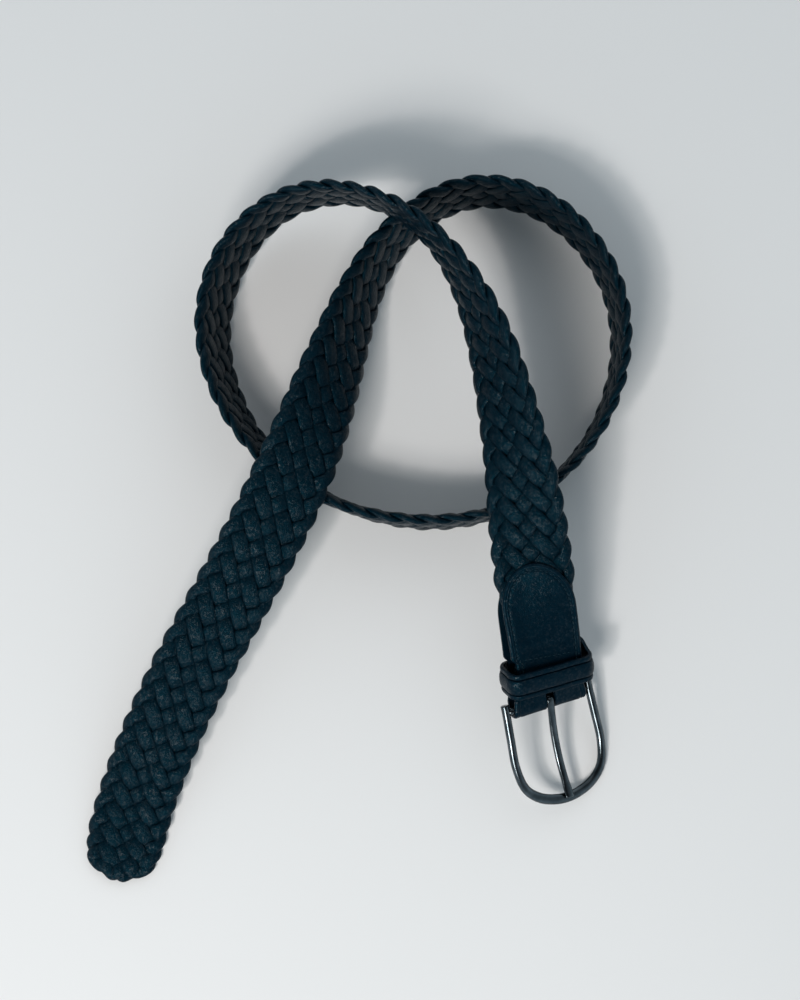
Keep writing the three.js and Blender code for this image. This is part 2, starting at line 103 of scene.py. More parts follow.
# Strands of the braid
STRANDS = 8
CYCLE = 2 * STRANDS
STRAND_WIDTH = 7.2
STRAND_THICKNESS = 2.3
TURN_WIDTH = 5.2
TURN_THICKNESS = 2.9
TURN_REACH = 1.3
TURN_TILT = 18
CROSSING_LIFT = 1.15
TURN_SOFTNESS = 0.9
END_SOFTNESS = 0.9
END_SHIFT = 5.0
END_SHIFT_ROWS = 5
END_INSET = 0.5
END_INSET_ROWS = 3
END_RISE_ROWS = 1.4
END_OVERLAP = 0.15
TUCK_SQUEEZE = TUCKED_WIDTH / BAND_WIDTH
WANDER_SCALE = 0.35
WANDER_APART = 7.3
WANDER_HEIGHT = 0.15
WANDER_WIDTH = 0.06
WANDER_SHIFT = 40
STRAND_STEP = 1.0
STRAND_STRETCH = 1.35
STRAND_SIDES = 14
STRAND_SQUARENESS = 0.8

# Stitching of the tab
STITCH_INSET = 2.7
STITCH_PITCH = 2.3
STITCH_LENGTH = 1.7
STITCH_RADIUS = 0.26
STITCH_SINK = 0.2
STITCH_TAPER = 0.75
STITCH_STEPS = 7
STITCH_SIDES = 8
CROSS_STITCH_AHEAD = 4
CROSS_STITCH_REACH = 11.5

# Relief of the tab's outer face, and the soft waves and creases beside its keeper
RIM_DEPTH = 1.1
RIM_FROM = -0.9
RIM_TO = 1.0
CREASE_DEPTH = 0.2
CREASE_INSET = 1.6
CREASE_REACH = 0.26
CHANNEL_DEPTH = 0.26
CHANNEL_REACH = 0.42
INNER_RIM = 0.25
WAVE_HEIGHT = 0.35
WAVE_SCALE = 0.09
WAVE_INSET = 6
CRUMPLE_SETBACK = 12
CRUMPLE_HEIGHT = 0.16
CRUMPLE_REACH = 4.5
CRUMPLE_ALONG = 1.15
CRUMPLE_ACROSS = 0.14

# The keeper's section, with its places as shares of the breadth from the middle, and its uneven lie
KEEPER_THINNING = 0.15
KEEPER_PAD_REACH = 0.3
KEEPER_RIDGE = 0.4
KEEPER_RIDGE_MIDDLE = 0.405
KEEPER_RIDGE_REACH = 0.095
KEEPER_GROOVE = 0.55
KEEPER_GROOVE_MIDDLE = 0.305
KEEPER_GROOVE_REACH = 0.022
KEEPER_INNER_RIM = 0.08
KEEPER_SAG = 0.25
KEEPER_SWELL = 0.12
KEEPER_SKEW = 4
KEEPER_SKEW_ACROSS = (-10, 18)
KEEPER_SKEW_BELOW = (-4, 6)

# Rounded ends of the metal: scale and outward place of the last ring and of the one before it
WIRE_END_SCALES = (0.8, 0.93)
WIRE_END_PLACES = (0.3, 0.2)
PRONG_END_SCALES = (0.72, 0.9)
PRONG_END_PLACES = (0.35, 0.22)
PRONG_SQUARENESS = 0.8
FRONT_SAMPLE = 1.5

# Rows, columns and steps of the tab, the keeper and the metal
TAB_INSETS = [0, 0.2, 0.45, 0.75, 1.05, 1.3, 1.5, 1.7, 1.9, 2.15, 2.4, 2.7, 3.0, 3.4, 4.2]
ARCH_STEPS = 28
STRAIGHT_STEPS = 28
TAPER_STEPS = 7
FOLD_STEPS = 16
KEEPER_CORNER_STEPS = 10
KEEPER_OUTLINE_STEP = 1.2
KEEPER_OUTSIDE_STEPS = 91
KEEPER_INSIDE_STEPS = 9
BAR_STEPS = 9
WIRE_STEPS = 140
WIRE_SIDES = 24
PRONG_EYE_STEPS = 40
PRONG_STEPS = 60
PRONG_SIDES = 20

# The band's way from its tip to the buckle: shares of the laid width and length, height of the lowest edge as
# a share of the band's width, and the lean in degrees, left edge up
ROUTE = [
    (-0.447, -0.487, 0, 0),
    (-0.425, -0.396, 0, 0),
    (-0.376, -0.301, 0.25, 3),
    (-0.309, -0.197, 0.51, 4),
    (-0.234, -0.101, 0.77, 5),
    (-0.164, -0.008, 0.99, 8),
    (-0.106, 0.085, 0.985, 17),
    (-0.062, 0.179, 0.67, 35),
    (-0.022, 0.277, 0.29, 54),
    (0.024, 0.374, 0.02, 69),
    (0.098, 0.443, 0, 78),
    (0.204, 0.485, 0, 83),
    (0.333, 0.472, 0, 85),
    (0.439, 0.405, 0, 86),
    (0.495, 0.308, 0, 85),
    (0.484, 0.203, 0, 84.5),
    (0.425, 0.108, 0, 85),
    (0.322, 0.038, 0, 87),
    (0.192, 0.006, 0, 89),
    (0.058, 0.008, 0, 88),
    (-0.076, 0.041, 0, 82),
    (-0.184, 0.102, 0, 76),
    (-0.259, 0.194, 0, 72),
    (-0.285, 0.297, 0, 70),
    (-0.240, 0.401, 0.05, 74),
    (-0.135, 0.466, 0.25, 86),
    (-0.001, 0.463, 0.64, 96),
    (0.113, 0.411, 0.96, 93),
    (0.193, 0.328, 1.08, 78),
    (0.241, 0.236, 1.07, 60),
    (0.269, 0.144, 1.055, 48),
    (0.294, 0.054, 1.065, 32),
    (0.310, -0.032, 1.02, 11),
    (0.325, -0.110, 0.79, -6),
    (0.339, -0.177, 0.48, -16),
    (0.3395, -0.210, 0.35, -20),
    (0.346, -0.238, 0.24, -22),
]

# The tip: how much of the half width is left to the strands on each side, by distance from the end
TIP_ALONG = [0, 0.15, 0.28, 0.43, 0.70, 1]
TIP_LEFT = [0.55, 0.66, 0.78, 0.88, 0.97, 1]
TIP_RIGHT = [0.44, 0.60, 0.75, 0.87, 0.97, 1]

# Half of the buckle frame from its bar to the middle of its front: shares across and of its reach, and how
# flattened the wire is
FRAME_OUTLINE = [
    (0.97, 0, 0),
    (0.99, 0.27, 0),
    (1, 0.565, 0.1),
    (0.88, 0.795, 0.4),
    (0.61, 0.92, 0.8),
    (0.30, 0.98, 1),
    (0, 1, 1),
]


def unit(vectors):
    return vectors / np.linalg.norm(vectors, axis=-1, keepdims=True)


def smoothstep(value, low, high):
    share = np.clip((np.asarray(value, float) - low) / (high - low), 0, 1)
    return share * share * (3 - 2 * share)


def lerp(low, high, share):
    return low + (high - low) * share


hinge = next(joint for joint in frame["joints"] if joint["name"] == "frame_hinge")
BAR_CENTRE = np.array(hinge["pos_m"]) / MM
BAR_ACROSS = -unit(np.array(hinge["axis"]))


class Centreline:
    """The band's middle line from the tip to the buckle's bar, with its axes, in the frame's place."""

    STEPS = 60

    def __init__(self, route):
        rows = np.array(route, float)
        lean = np.radians(rows[:, 3])
        standing = (BAND_WIDTH * np.abs(np.sin(lean)) + BAND_THICKNESS * np.abs(np.cos(lean))) / 2
        height = rows[:, 2] * BAND_WIDTH + standing
        controls = np.column_stack([rows[:, 0] * LAID_WIDTH, rows[:, 1] * LAID_LENGTH, height, lean])
        before = 2 * controls[0] - controls[1]
        after = 2 * controls[-1] - controls[-2]
        controls = np.vstack([before, controls, after])
        samples = []
        for span in range(len(rows) - 1):
            for step in range(self.STEPS):
                samples.append(self.blend(controls[span:span + 4], step / self.STEPS))
        samples.append(self.blend(controls[-4:], 1))
        samples = np.array(samples)
        points = samples[:, :3]
        points = points + (BAR_CENTRE - points[-1]) * np.array([1, 1, 0])
        steps = np.linalg.norm(np.diff(points, axis=0), axis=1)
        self.distances = np.concatenate([[0], np.cumsum(steps)])
        self.length = self.distances[-1]
        self.points = points
        self.along = unit(np.gradient(points, self.distances, axis=0))
        level = unit(np.column_stack([-self.along[:, 1], self.along[:, 0], np.zeros(len(points))]))
        rising = np.cross(self.along, level)
        lean = samples[:, 3:4]
        self.across = level * np.cos(lean) + rising * np.sin(lean)

    @staticmethod
    def blend(controls, t):
        u = 1 - t
        weights = [u ** 3, 3 * t ** 3 - 6 * t ** 2 + 4, 3 * u ** 3 - 6 * u ** 2 + 4, t ** 3]
        return np.array(weights) @ controls / 6

    def axes(self, distance):
        """Centre and along, across and facing axes at each distance."""
        inside = np.clip(distance, 0, self.length)

        def read(table):
            return np.column_stack([np.interp(inside, self.distances, column) for column in table.T])

        along = unit(read(self.along))
        across = read(self.across)
        across = unit(across - along * np.sum(across * along, axis=1, keepdims=True))
        centre = read(self.points) + along * (np.asarray(distance) - inside)[:, None]
        return centre, along, across, np.cross(along, across)

    def place(self, distance, across, height):
        """Points given by distance from the tip, place across the band and height over its middle."""
        shape = np.shape(distance)
        centre, _, side, facing = self.axes(np.ravel(distance))
        points = centre + side * np.ravel(across)[:, None] + facing * np.ravel(height)[:, None]
        return points.reshape(shape + (3,))


centreline = Centreline(ROUTE)
KEEPER_MIDDLE = centreline.length - KEEPER_SETBACK - KEEPER_BREADTH / 2
CRUMPLE_MIDDLE = KEEPER_MIDDLE - CRUMPLE_SETBACK


def mesh_object(name, points, faces, body, material):
    """A piece made of points in millimetres that rides on a body of the frame."""
    mesh = bpy.data.meshes.new(name)
    mesh.from_pydata((np.asarray(points) * MM).tolist(), [], faces)
    work = bmesh.new()
    work.from_mesh(mesh)
    bmesh.ops.remove_doubles(work, verts=work.verts, dist=WELD_DISTANCE * MM)
    bmesh.ops.dissolve_degenerate(work, edges=work.edges, dist=SLIVER_LENGTH * MM)
    bmesh.ops.recalc_face_normals(work, faces=work.faces)
    work.to_mesh(mesh)
    work.free()
    mesh.shade_smooth()
    mesh.materials.append(material)
    piece = bpy.data.objects.new(name, mesh)
    bpy.context.scene.collection.objects.link(piece)
    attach(piece, body)
    return piece


def ring_faces(rows, size, offset=0, closed=False):
    """Quads between neighbouring rings of one size, with caps unless the rings close on themselves."""
    faces = []
    for i in range(rows if closed else rows - 1):
        after = (i + 1) % rows
        for j in range(size):
            k = (j + 1) % size
            faces.append([offset + i * size + j, offset + i * size + k, offset + after * size + k,
                          offset + after * size + j])
    if not closed:
        faces.append([offset + j for j in reversed(range(size))])
        faces.append([offset + (rows - 1) * size + j for j in range(size)])
    return faces


def sweep(centres, sides, normals, breadths, thicknesses, count, squareness=1.0):
    """Rings of points round a path: a superellipse of that breadth along side and thickness along normal."""
    angles = np.arange(count) * 2 * math.pi / count
    flat = np.sign(np.cos(angles)) * np.abs(np.cos(angles)) ** squareness
    tall = np.sign(np.sin(angles)) * np.abs(np.sin(angles)) ** squareness
    breadths = np.broadcast_to(breadths, len(centres))
    thicknesses = np.broadcast_to(thicknesses, len(centres))
    return (centres[:, None, :]
            + sides[:, None, :] * (breadths[:, None] * flat / 2)[:, :, None]
            + normals[:, None, :] * (thicknesses[:, None] * tall / 2)[:, :, None])


# Braid


def braid_rows(length):
    """Distances of the half pitches, tighter towards the tip and fitted to the whole length."""
    rows = [0.0]
    while rows[-1] < length:
        loosened = float(smoothstep(rows[-1], 0, TIGHT_LENGTH))
        rows.append(rows[-1] + lerp(TIP_PITCH, SCALLOP_PITCH, loosened) / 2)
    return np.array(rows) * length / rows[-1]


def from_turn(phase):
    """Smoothed number of columns from the nearest turn."""
    away = np.abs((phase + STRANDS / 2) % STRANDS - STRANDS / 2)
    rounded = (away ** 2 + TURN_SOFTNESS ** 2) / (2 * TURN_SOFTNESS)
    return np.where(away < TURN_SOFTNESS, rounded, away)


# Over and under at each half pitch of a strand's run from the right edge to the left and back
OVER_UNDER = [0, -1, 1, 1, -1, 1, 1, -1, 0, 1, -1, -1, 1, -1, -1, 1]


def crossing_height(phase):
    """Height of a strand between -1 and 1, a smooth curve through its crossings."""
    step = np.floor(phase).astype(int)
    t = phase - step
    table = np.array(OVER_UNDER, float)
    a, b, c, d = (table[(step + i) % CYCLE] for i in (-1, 0, 1, 2))
    return b + 0.5 * t * (c - a + t * (2 * a - 5 * b + 4 * c - d + t * (3 * (b - c) + d - a)))


def strand(index, material):
    """One strip from its loop at the tip, where it joins its pair, to its bare end between the flaps."""
    length = centreline.length - SLOT_LENGTH - CLEARANCE
    rows = braid_rows(length)
    count = int(length * STRAND_STRETCH / STRAND_STEP)
    run = np.linspace(-END_OVERLAP, len(rows) - 1, count)
    phase = (run - 1 - 2 * index) % CYCLE
    columns = from_turn(phase)
    to_left = np.where((phase > STRANDS / 2) & (phase < 1.5 * STRANDS), 1, -1)
    share = to_left * (1 - 2 * columns / STRANDS) / (1 - TURN_SOFTNESS / STRANDS)
    rounded = np.where(run < END_SOFTNESS, (run ** 2 + END_SOFTNESS ** 2) / (2 * END_SOFTNESS), run)
    distance = np.interp(rounded, np.arange(len(rows)), rows)
    distance = distance + END_SHIFT * share ** 2 * (1 - smoothstep(run, 0, END_SHIFT_ROWS))
    distance = distance + END_INSET * (1 - smoothstep(run, 0, END_INSET_ROWS))
    tucked_from = centreline.length - TAB_LENGTH + ARCH_LENGTH / 2
    tucked = smoothstep(distance, tucked_from, tucked_from + SCALLOP_PITCH)
    half_width = lerp(BAND_WIDTH, TUCKED_WIDTH, tucked) / 2
    left = np.interp(distance / TIP_LENGTH, TIP_ALONG, TIP_LEFT)
    right = np.interp(distance / TIP_LENGTH, TIP_ALONG, TIP_RIGHT)
    across = share * (half_width - TURN_WIDTH / 2) * np.where(share > 0, left, right)
    turning = 1 - smoothstep(np.minimum(columns, run), TURN_SOFTNESS / 2, TURN_REACH)
    wander = np.array([noise.noise(Vector((s * WANDER_SCALE, index * WANDER_APART, 0.5))) for s in run])
    height = CROSSING_LIFT * crossing_height(phase) + WANDER_HEIGHT * wander * (1 - tucked)
    height = height * smoothstep(run, 0, END_RISE_ROWS)
    centres = centreline.place(distance, across, height)
    tangents = unit(np.gradient(centres, axis=0))
    _, _, sides, facing = centreline.axes(distance)
    tilt = np.radians(TURN_TILT) * turning * share
    normals = facing * np.cos(tilt)[:, None] + sides * np.sin(tilt)[:, None]
    normals = unit(normals - tangents * np.sum(normals * tangents, axis=1, keepdims=True))
    widths = lerp(STRAND_WIDTH, TURN_WIDTH, turning)
    widths = widths * (1 + WANDER_WIDTH * np.roll(wander, WANDER_SHIFT)) * lerp(1, TUCK_SQUEEZE, tucked)
    thicknesses = lerp(STRAND_THICKNESS, TURN_THICKNESS, turning)
    rings = sweep(centres, np.cross(tangents, normals), normals, widths, thicknesses, STRAND_SIDES,
                  STRAND_SQUARENESS)
    name = f"strand_{index + 1}"
    faces = ring_faces(len(rings), STRAND_SIDES)
    piece = mesh_object(name, rings.reshape(-1, 3), faces, "belt", material)
    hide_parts("braided_strap")


# Buckle tab


def keeper_pinch(distance):
    """How far the keeper has pulled in the tab's right edge, fading at the keeper's own edges."""
    away = np.abs(np.asarray(distance) - KEEPER_MIDDLE) / KEEPER_BREADTH
    return KEEPER_PINCH * (1 - smoothstep(away, 0.5, 0.75))


def flap_rows(length, width, side):
    """Rows of a flap from its arched end to the fold: distance, half width, height and angle on the arch."""
    end = centreline.length
    rows = []
    for step in range(ARCH_STEPS + 1):
        rows.append((end - length, width / 2, side * FLAP_CENTRE, step / ARCH_STEPS * math.pi / 2))
    straight = np.linspace(end - length + ARCH_LENGTH, end - SLOT_LENGTH, STRAIGHT_STEPS + 1)[1:]
    rows += [(d, width / 2, side * FLAP_CENTRE, None) for d in straight]
    for step in range(1, TAPER_STEPS):
        share = step / TAPER_STEPS
        half = lerp(width, FOLD_WIDTH, share) / 2
        height = side * lerp(FLAP_CENTRE, FOLD_RADIUS, share)
        rows.append((end - SLOT_LENGTH * (1 - share), half, height, None))
    return rows


def tab_rows():
    """Rows of the whole tab: the front flap, the fold round the bar and the back flap."""
    fold = []
    for step in range(FOLD_STEPS + 1):
        angle = step / FOLD_STEPS * math.pi
        distance = centreline.length + FOLD_RADIUS * math.sin(angle)
        fold.append((distance, FOLD_WIDTH / 2, FOLD_RADIUS * math.cos(angle), None))
    back = flap_rows(BACK_FLAP_LENGTH, BACK_FLAP_WIDTH, -1)
    return flap_rows(TAB_LENGTH, FRONT_FLAP_WIDTH, 1) + fold + back[::-1]


def rim_relief(inset):
    """Depth below the tab's outer face: a rounded rim, a creased line and the stitches' channel."""
    rim = RIM_DEPTH * (1 - smoothstep(inset, RIM_FROM, RIM_TO))
    crease = CREASE_DEPTH * np.exp(-(((inset - CREASE_INSET) / CREASE_REACH) ** 2))
    channel = CHANNEL_DEPTH * np.exp(-(((inset - STITCH_INSET) / CHANNEL_REACH) ** 2))
    return rim + crease + channel


def tab_columns(half):
    """Insets from the tab's edge, from the rim to the slot's edge and the middle."""
    slot = SLOT_WIDTH / 2
    inner = [half - lerp(half - TAB_INSETS[-1], slot, share) for share in (0.25, 0.5, 0.75, 1)]
    return TAB_INSETS + inner + [half - slot / 2, half]


def buckle_tab(material):
    """The tab as a shell: an outer and an inner layer over the same rows, joined along every open edge."""
    rows = tab_rows()
    per_side = len(TAB_INSETS) + 6
    size = 2 * per_side - 1
    distances, acrosses, insets = (np.zeros((len(rows), size)) for _ in range(3))
    heights = np.array([row[2] for row in rows])
    for i, (distance, half, _, arch) in enumerate(rows):
        for j, inset in enumerate(tab_columns(half)):
            for side, column in ((1, j), (-1, size - 1 - j)):
                place = distance
                reach = half - inset
                if arch is not None:
                    place = distance + inset + max(ARCH_LENGTH - inset, 0) * (1 - math.cos(arch))
                    reach = reach * math.sin(arch)
                distances[i, column] = place
                acrosses[i, column] = side * reach
                insets[i, column] = inset
    acrosses = np.where(acrosses < 0, np.minimum(acrosses + keeper_pinch(distances), 0), acrosses)
    middle = distances[:, per_side - 1]
    run = unit(np.column_stack([np.gradient(middle), np.gradient(heights)]))
    on_arch = np.array([row[3] is not None for row in rows])
    run[on_arch] = np.sign(run[:, :1][on_arch]) * np.array([[1, 0]])
    wave = np.zeros_like(distances)
    for i in range(len(rows)):
        for j in range(size):
            seed = Vector((distances[i, j] * WAVE_SCALE, acrosses[i, j] * WAVE_SCALE, heights[i]))
            wave[i, j] = noise.noise(seed) * WAVE_HEIGHT * smoothstep(insets[i, j], 0, WAVE_INSET)
    crumple = np.exp(-(((distances - CRUMPLE_MIDDLE) / CRUMPLE_REACH) ** 2))
    crumple = crumple * np.sin(distances * CRUMPLE_ALONG + acrosses * CRUMPLE_ACROSS)
    wave += CRUMPLE_HEIGHT * crumple * (heights[:, None] > 0)
    outer_relief = rim_relief(insets) - wave
    inner_relief = -INNER_RIM * (insets < TAB_INSETS[1])
    layers = []
    for rise, relief in ((LEATHER / 2, outer_relief), (-LEATHER / 2, inner_relief)):
        lift = rise - relief
        layers.append(centreline.place(
            distances - run[:, 1:] * lift,
            acrosses,
            heights[:, None] + run[:, :1] * lift,
        ))
    points = np.concatenate([layer.reshape(-1, 3) for layer in layers])
    merged = np.arange(len(rows) * size).reshape(len(rows), size)
    for tip in (0, len(rows) - 1):
        merged[tip, per_side:] = merged[tip, :per_side - 1][::-1]
    slot_end = centreline.length - SLOT_LENGTH - 0.01
    faces = []
    edges = {}
    under = len(rows) * size
    for i in range(len(rows) - 1):
        for j in range(size - 1):
            cell = [merged[i, j], merged[i + 1, j], merged[i + 1, j + 1], merged[i, j + 1]]
            cell = list(dict.fromkeys(int(k) for k in cell))
            in_slot = abs(acrosses[i, j] + acrosses[i, j + 1]) / 2 < SLOT_WIDTH / 2
            if len(cell) < 3 or (in_slot and middle[i] > slot_end and middle[i + 1] > slot_end):
                continue
            faces.append(cell)
            faces.append([k + under for k in reversed(cell)])
            for a, b in zip(cell, cell[1:] + cell[:1]):
                edges[(a, b)] = True
    for a, b in edges:
        if (b, a) not in edges:
            faces.append([b, a, a + under, b + under])
    piece = mesh_object("tab_leather", points, faces, "belt", material)
    piece.data.set_sharp_from_angle(angle=math.radians(50))
    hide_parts("buckle_tab")


def stitch_line(length, width, side):
    """Points of a flap's seam from the fold round its arch and back, in distance and across."""
    end = centreline.length
    reach = width / 2 - STITCH_INSET
    arch = end - length + ARCH_LENGTH
    angles = np.linspace(math.pi / 2, -math.pi / 2, 60)
    far = arch - (ARCH_LENGTH - STITCH_INSET) * np.cos(angles)
    return np.vstack([
        [[end - SLOT_LENGTH - 1, reach]],
        np.column_stack([far, reach * np.sin(angles)]),
        [[end - SLOT_LENGTH - 1, -reach]],
    ])


def along_line(line, pitch):
    """Evenly spaced places and directions on a line."""
    steps = np.linalg.norm(np.diff(line, axis=0), axis=1)
    reach = np.concatenate([[0], np.cumsum(steps)])
    count = max(int(reach[-1] / pitch), 1)
    marks = (np.arange(count) + 0.5) * reach[-1] / count

    def read(places):
        return np.column_stack([np.interp(places, reach, column) for column in line.T])

    return read(marks), unit(read(marks + 0.2) - read(marks - 0.2))


def stitches(name, lines, material):
    """Separate threads, each dipping into the leather at both ends."""
    points = []
    faces = []
    shares = np.linspace(-1, 1, STITCH_STEPS)
    for line, side in lines:
        places, directions = along_line(line, STITCH_PITCH)
        for place, direction in zip(places, directions):
            spots = place + direction * shares[:, None] * STITCH_LENGTH / 2
            spots[:, 1] += np.where(spots[:, 1] < 0, keeper_pinch(spots[:, 0]), 0)
            lift = FLAP_OUTSIDE - STITCH_SINK + STITCH_SINK * (1 - shares ** 2)
            centres = centreline.place(spots[:, 0], spots[:, 1], side * lift)
            tangents = unit(np.gradient(centres, axis=0))
            _, _, _, facing = centreline.axes(spots[:, 0])
            width = 2 * STITCH_RADIUS * (1 - STITCH_TAPER * np.abs(shares) ** 4)
            rings = sweep(centres, unit(np.cross(tangents, facing)), facing, width, width, STITCH_SIDES)
            faces += ring_faces(len(rings), STITCH_SIDES, len(points))
            points += rings.reshape(-1, 3).tolist()
    piece = mesh_object(name, points, faces, "belt", material)
    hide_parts("buckle_tab")


def tab_stitches(material):
    """The seams of both flaps and the row across the front flap."""
    row = CRUMPLE_MIDDLE + CROSS_STITCH_AHEAD
    across_row = np.array([[row, CROSS_STITCH_REACH], [row, -CROSS_STITCH_REACH]])
    lines = [
        (stitch_line(TAB_LENGTH, FRONT_FLAP_WIDTH, 1), 1),
        (stitch_line(BACK_FLAP_LENGTH, BACK_FLAP_WIDTH, -1), -1),
        (across_row, 1),
    ]
    stitches("tab_stitches", lines, material)


# Keeper


def keeper_outline():
    """The keeper's inside as a rounded rectangle: across, height and outward direction."""
    half_width = (BACK_FLAP_WIDTH - KEEPER_PINCH + KEEPER_PLAY) / 2
    half_height = FLAP_OUTSIDE + KEEPER_HEADROOM / 2
    path = []
    for corner, signs in enumerate([(1, 1), (-1, 1), (-1, -1), (1, -1)]):
        for step in range(KEEPER_CORNER_STEPS + 1):
            angle = (corner + step / KEEPER_CORNER_STEPS) * math.pi / 2
            across = signs[0] * (half_width - KEEPER_CORNER) + KEEPER_CORNER * math.cos(angle)
            height = signs[1] * (half_height - KEEPER_CORNER) + KEEPER_CORNER * math.sin(angle)
            path.append((across, height, math.cos(angle), math.sin(angle)))
    filled = []
    for here, after in zip(path, path[1:] + path[:1]):
        gap = math.hypot(after[0] - here[0], after[1] - here[1])
        count = max(round(gap / KEEPER_OUTLINE_STEP), 1)
        for step in range(count):
            filled.append([lerp(a, b, step / count) for a, b in zip(here, after)])
    return np.array(filled)


def keeper_section():
    """The strip's cross section: place along the belt and rise over the inside, the inside last."""
    places = np.linspace(-1, 1, KEEPER_OUTSIDE_STEPS)
    away = np.abs(places) * 0.5
    from_ridge = (away - KEEPER_RIDGE_MIDDLE) / KEEPER_RIDGE_REACH
    from_groove = (away - KEEPER_GROOVE_MIDDLE) / KEEPER_GROOVE_REACH
    pad = (KEEPER_PAD + KEEPER_THINNING) * np.sqrt(np.clip(1 - (away / KEEPER_PAD_REACH) ** 2, 0, 1))
    ridge = KEEPER_RIDGE * np.sqrt(np.clip(1 - from_ridge ** 2, 0, 1))
    groove = KEEPER_GROOVE * np.exp(-(from_groove ** 2))
    outer = list(zip(places * KEEPER_BREADTH / 2, KEEPER_WALL - KEEPER_THINNING + pad + ridge - groove))
    inside = np.linspace(1, -1, KEEPER_INSIDE_STEPS)
    inner = [(share * KEEPER_BREADTH / 2, KEEPER_INNER_RIM * abs(share) ** 6) for share in inside]
    return np.array(outer + inner)


def keeper_place():
    """Turns the keeper's own points into the frame: leaning, turned and tilted on the front flap."""
    half_height = FLAP_OUTSIDE + KEEPER_HEADROOM / 2
    low_edge = half_height * math.cos(KEEPER_LEAN) - KEEPER_BREADTH / 2 * math.sin(KEEPER_LEAN)
    drop = low_edge - FLAP_OUTSIDE - KEEPER_CLEARANCE
    off_centre = (KEEPER_PINCH + KEEPER_PLAY) / 2
    slide = off_centre - KEEPER_BREADTH / 2 * math.sin(KEEPER_TURN) - KEEPER_CLEARANCE
    centre, along, across, facing = (axis[0] for axis in centreline.axes(np.array([KEEPER_MIDDLE])))
    basis = np.column_stack([along, across, facing])
    turns = (Matrix.Rotation(-KEEPER_TILT, 3, "X") @ Matrix.Rotation(KEEPER_TURN, 3, "Z")
             @ Matrix.Rotation(KEEPER_LEAN, 3, "Y"))
    return lambda points: (points @ np.array(turns).T + [0, slide, -drop]) @ basis.T + centre


def keeper(material):
    """The loose loop round the tab, sagging a little and set askew at its lower right."""
    outline = keeper_outline()
    section = keeper_section()
    count = len(outline)
    points = np.zeros((count, len(section), 3))
    for i, (across, height, out_across, out_height) in enumerate(outline):
        turn = i / count * 2 * math.pi
        sag = KEEPER_SAG * noise.noise(Vector((math.cos(turn) * 2, math.sin(turn) * 2, 3)))
        rise = section[:, 1] * (1 + KEEPER_SWELL * sag)
        skewed = smoothstep(across, *KEEPER_SKEW_ACROSS) * smoothstep(-height, *KEEPER_SKEW_BELOW)
        askew = KEEPER_SKEW * skewed
        points[i, :, 0] = section[:, 0] + sag - askew
        points[i, :, 1] = across + out_across * rise
        points[i, :, 2] = height + out_height * rise
    place = keeper_place()
    points = place(points.reshape(-1, 3))
    faces = ring_faces(count, len(section), closed=True)
    piece = mesh_object("keeper_leather", points, faces, "belt", material)
    piece.data.set_sharp_from_angle(angle=math.radians(60))
    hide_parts("keeper")


# Buckle


def buckle_axes():
    """The buckle's forward, across and up axes, read from the frame's own mesh."""
    vertices = bpy.data.objects["buckle_frame"].data.vertices
    points = np.array([list(vertex.co) for vertex in vertices]) / MM - BAR_CENTRE
    off_axis = points - (points @ BAR_ACROSS)[:, None] * BAR_ACROSS
    far = np.linalg.norm(off_axis, axis=1)
    forward = unit(off_axis[far > far.max() - FRONT_SAMPLE].mean(axis=0))
    return forward, BAR_ACROSS, np.cross(forward, BAR_ACROSS)


def buckle_points(points, axes):
    """Points given along the buckle's axes from the bar's middle."""
    return BAR_CENTRE + points @ np.array(axes)


def rounded_ends(centres, tangents, scales, places):
    """Two more rings past each end of a path: the ring that each one repeats, its centre and its scale."""
    last = len(centres) - 1
    repeated = np.concatenate([[0, 0], np.arange(last + 1), [last, last]])
    scale = np.ones(len(repeated))
    scale[[0, -1]] = scales[0]
    scale[[1, -2]] = scales[1]
    push = np.zeros(len(repeated))
    push[[0, 1, -2, -1]] = [-places[0], -places[1], places[1], places[0]]
    return repeated, centres[repeated] + tangents[repeated] * push[:, None], scale


def catmull_rom(points, count):
    """Centripetal curve through points, sampled evenly from span to span."""
    points = np.array(points, float)
    points = np.vstack([2 * points[0] - points[1], points, 2 * points[-1] - points[-2]])
    samples = []
    for sample in range(count + 1):
        place = sample / count * (len(points) - 3)
        span = min(int(place), len(points) - 4)
        level = list(points[span:span + 4])
        gaps = [math.sqrt(np.linalg.norm(after - before)) for before, after in zip(level, level[1:])]
        knots = np.concatenate([[0], np.cumsum(gaps)])
        t = lerp(knots[1], knots[2], place - span)
        mix = lambda a, b, low, high: ((high - t) * a + (t - low) * b) / (high - low)
        for reach in (1, 2):
            level = [mix(level[k], level[k + 1], knots[k], knots[k + reach]) for k in range(len(level) - 1)]
        samples.append(mix(level[0], level[1], knots[1], knots[2]))
    return np.array(samples)


